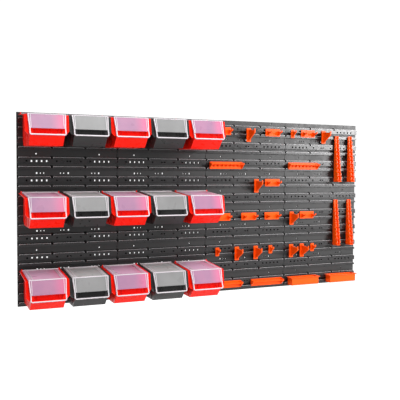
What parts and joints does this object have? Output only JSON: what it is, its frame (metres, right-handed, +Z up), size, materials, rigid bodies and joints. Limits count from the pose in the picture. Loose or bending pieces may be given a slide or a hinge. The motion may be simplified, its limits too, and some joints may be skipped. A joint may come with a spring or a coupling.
{
  "type": "pegboard tool wall",
  "caption": "Wide wall of dark moulded pegboard panels with rows of lidded hopper bins on the left and orange hooks, shelves, trays and wrench racks on the right.",
  "frame": {"origin": "centre of the wall's back face, where the four middle panels meet", "axes": "+X to the right seen from the front, +Z up, the front faces -Y and the back rests on the wall at y = 0"},
  "size_m": [1.6, 0.2204, 0.76],
  "materials": {
    "panel_plastic": "fine satin moulded surface",
    "bin_red": "smooth moulded polypropylene",
    "bin_black": "smooth moulded polypropylene",
    "lid_clear": "frosted clear polypropylene",
    "holder_plastic": "smooth moulded polypropylene"
  },
  "bodies": {
    "wall": {"upper_panel_1": "panel_plastic", "upper_panel_2": "panel_plastic", "upper_panel_3": "panel_plastic", "upper_panel_4": "panel_plastic", "lower_panel_1": "panel_plastic", "lower_panel_2": "panel_plastic", "lower_panel_3": "panel_plastic", "lower_panel_4": "panel_plastic", "wrench_rack_upper_inner": "holder_plastic", "wrench_rack_upper_outer": "holder_plastic", "wrench_rack_lower_inner": "holder_plastic", "wrench_rack_lower_outer": "holder_plastic", "screwdriver_bar_left": "holder_plastic", "screwdriver_bar_right": "holder_plastic", "long_shelf_left": "holder_plastic", "long_shelf_right": "holder_plastic", "parts_tray_left": "holder_plastic", "parts_tray_right": "holder_plastic", "double_hooks_top": "holder_plastic", "double_hooks_upper": "holder_plastic", "double_hooks_middle": "holder_plastic", "large_hooks_top": "holder_plastic", "large_hooks_upper": "holder_plastic", "large_hooks_middle": "holder_plastic", "large_hooks_lower": "holder_plastic", "small_hooks_top": "holder_plastic", "small_hooks_lower": "holder_plastic"},
    "bin_top_1": {"bin_top_1": "bin_red"},
    "lid_top_1": {"lid_top_1": "lid_clear"},
    "bin_top_2": {"bin_top_2": "bin_black"},
    "lid_top_2": {"lid_top_2": "lid_clear"},
    "bin_top_3": {"bin_top_3": "bin_red"},
    "lid_top_3": {"lid_top_3": "lid_clear"},
    "bin_top_4": {"bin_top_4": "bin_black"},
    "lid_top_4": {"lid_top_4": "lid_clear"},
    "bin_top_5": {"bin_top_5": "bin_red"},
    "lid_top_5": {"lid_top_5": "lid_clear"},
    "bin_middle_1": {"bin_middle_1": "bin_red"},
    "lid_middle_1": {"lid_middle_1": "lid_clear"},
    "bin_middle_2": {"bin_middle_2": "bin_black"},
    "lid_middle_2": {"lid_middle_2": "lid_clear"},
    "bin_middle_3": {"bin_middle_3": "bin_red"},
    "lid_middle_3": {"lid_middle_3": "lid_clear"},
    "bin_middle_4": {"bin_middle_4": "bin_black"},
    "lid_middle_4": {"lid_middle_4": "lid_clear"},
    "bin_middle_5": {"bin_middle_5": "bin_red"},
    "lid_middle_5": {"lid_middle_5": "lid_clear"},
    "bin_bottom_1": {"bin_bottom_1": "bin_red"},
    "lid_bottom_1": {"lid_bottom_1": "lid_clear"},
    "bin_bottom_2": {"bin_bottom_2": "bin_black"},
    "lid_bottom_2": {"lid_bottom_2": "lid_clear"},
    "bin_bottom_3": {"bin_bottom_3": "bin_red"},
    "lid_bottom_3": {"lid_bottom_3": "lid_clear"},
    "bin_bottom_4": {"bin_bottom_4": "bin_black"},
    "lid_bottom_4": {"lid_bottom_4": "lid_clear"},
    "bin_bottom_5": {"bin_bottom_5": "bin_red"},
    "lid_bottom_5": {"lid_bottom_5": "lid_clear"}
  },
  "joints": [
    {"name": "bin_top_1_lift", "type": "slide", "parent": "wall", "child": "bin_top_1", "axis": [0, 0, 1], "range_m": [0, 0.015]},
    {"name": "lid_top_1_hinge", "type": "hinge", "parent": "bin_top_1", "child": "lid_top_1", "pos_m": [-0.7146, -0.025, 0.373], "axis": [-1, 0, 0], "range_deg": [0, 75]},
    {"name": "bin_top_2_lift", "type": "slide", "parent": "wall", "child": "bin_top_2", "axis": [0, 0, 1], "range_m": [0, 0.015]},
    {"name": "lid_top_2_hinge", "type": "hinge", "parent": "bin_top_2", "child": "lid_top_2", "pos_m": [-0.5546, -0.025, 0.373], "axis": [-1, 0, 0], "range_deg": [0, 75]},
    {"name": "bin_top_3_lift", "type": "slide", "parent": "wall", "child": "bin_top_3", "axis": [0, 0, 1], "range_m": [0, 0.015]},
    {"name": "lid_top_3_hinge", "type": "hinge", "parent": "bin_top_3", "child": "lid_top_3", "pos_m": [-0.3946, -0.025, 0.373], "axis": [-1, 0, 0], "range_deg": [0, 75]},
    {"name": "bin_top_4_lift", "type": "slide", "parent": "wall", "child": "bin_top_4", "axis": [0, 0, 1], "range_m": [0, 0.015]},
    {"name": "lid_top_4_hinge", "type": "hinge", "parent": "bin_top_4", "child": "lid_top_4", "pos_m": [-0.2346, -0.025, 0.373], "axis": [-1, 0, 0], "range_deg": [0, 75]},
    {"name": "bin_top_5_lift", "type": "slide", "parent": "wall", "child": "bin_top_5", "axis": [0, 0, 1], "range_m": [0, 0.015]},
    {"name": "lid_top_5_hinge", "type": "hinge", "parent": "bin_top_5", "child": "lid_top_5", "pos_m": [-0.0746, -0.025, 0.373], "axis": [-1, 0, 0], "range_deg": [0, 75]},
    {"name": "bin_middle_1_lift", "type": "slide", "parent": "wall", "child": "bin_middle_1", "axis": [0, 0, 1], "range_m": [0, 0.015]},
    {"name": "lid_middle_1_hinge", "type": "hinge", "parent": "bin_middle_1", "child": "lid_middle_1", "pos_m": [-0.7146, -0.025, 0.069], "axis": [-1, 0, 0], "range_deg": [0, 75]},
    {"name": "bin_middle_2_lift", "type": "slide", "parent": "wall", "child": "bin_middle_2", "axis": [0, 0, 1], "range_m": [0, 0.015]},
    {"name": "lid_middle_2_hinge", "type": "hinge", "parent": "bin_middle_2", "child": "lid_middle_2", "pos_m": [-0.5546, -0.025, 0.069], "axis": [-1, 0, 0], "range_deg": [0, 75]},
    {"name": "bin_middle_3_lift", "type": "slide", "parent": "wall", "child": "bin_middle_3", "axis": [0, 0, 1], "range_m": [0, 0.015]},
    {"name": "lid_middle_3_hinge", "type": "hinge", "parent": "bin_middle_3", "child": "lid_middle_3", "pos_m": [-0.3946, -0.025, 0.069], "axis": [-1, 0, 0], "range_deg": [0, 75]},
    {"name": "bin_middle_4_lift", "type": "slide", "parent": "wall", "child": "bin_middle_4", "axis": [0, 0, 1], "range_m": [0, 0.015]},
    {"name": "lid_middle_4_hinge", "type": "hinge", "parent": "bin_middle_4", "child": "lid_middle_4", "pos_m": [-0.2346, -0.025, 0.069], "axis": [-1, 0, 0], "range_deg": [0, 75]},
    {"name": "bin_middle_5_lift", "type": "slide", "parent": "wall", "child": "bin_middle_5", "axis": [0, 0, 1], "range_m": [0, 0.015]},
    {"name": "lid_middle_5_hinge", "type": "hinge", "parent": "bin_middle_5", "child": "lid_middle_5", "pos_m": [-0.0746, -0.025, 0.069], "axis": [-1, 0, 0], "range_deg": [0, 75]},
    {"name": "bin_bottom_1_lift", "type": "slide", "parent": "wall", "child": "bin_bottom_1", "axis": [0, 0, 1], "range_m": [0, 0.015]},
    {"name": "lid_bottom_1_hinge", "type": "hinge", "parent": "bin_bottom_1", "child": "lid_bottom_1", "pos_m": [-0.7146, -0.025, -0.235], "axis": [-1, 0, 0], "range_deg": [0, 75]},
    {"name": "bin_bottom_2_lift", "type": "slide", "parent": "wall", "child": "bin_bottom_2", "axis": [0, 0, 1], "range_m": [0, 0.015]},
    {"name": "lid_bottom_2_hinge", "type": "hinge", "parent": "bin_bottom_2", "child": "lid_bottom_2", "pos_m": [-0.5546, -0.025, -0.235], "axis": [-1, 0, 0], "range_deg": [0, 75]},
    {"name": "bin_bottom_3_lift", "type": "slide", "parent": "wall", "child": "bin_bottom_3", "axis": [0, 0, 1], "range_m": [0, 0.015]},
    {"name": "lid_bottom_3_hinge", "type": "hinge", "parent": "bin_bottom_3", "child": "lid_bottom_3", "pos_m": [-0.3946, -0.025, -0.235], "axis": [-1, 0, 0], "range_deg": [0, 75]},
    {"name": "bin_bottom_4_lift", "type": "slide", "parent": "wall", "child": "bin_bottom_4", "axis": [0, 0, 1], "range_m": [0, 0.015]},
    {"name": "lid_bottom_4_hinge", "type": "hinge", "parent": "bin_bottom_4", "child": "lid_bottom_4", "pos_m": [-0.2346, -0.025, -0.235], "axis": [-1, 0, 0], "range_deg": [0, 75]},
    {"name": "bin_bottom_5_lift", "type": "slide", "parent": "wall", "child": "bin_bottom_5", "axis": [0, 0, 1], "range_m": [0, 0.015]},
    {"name": "lid_bottom_5_hinge", "type": "hinge", "parent": "bin_bottom_5", "child": "lid_bottom_5", "pos_m": [-0.0746, -0.025, -0.235], "axis": [-1, 0, 0], "range_deg": [0, 75]}
  ]
}
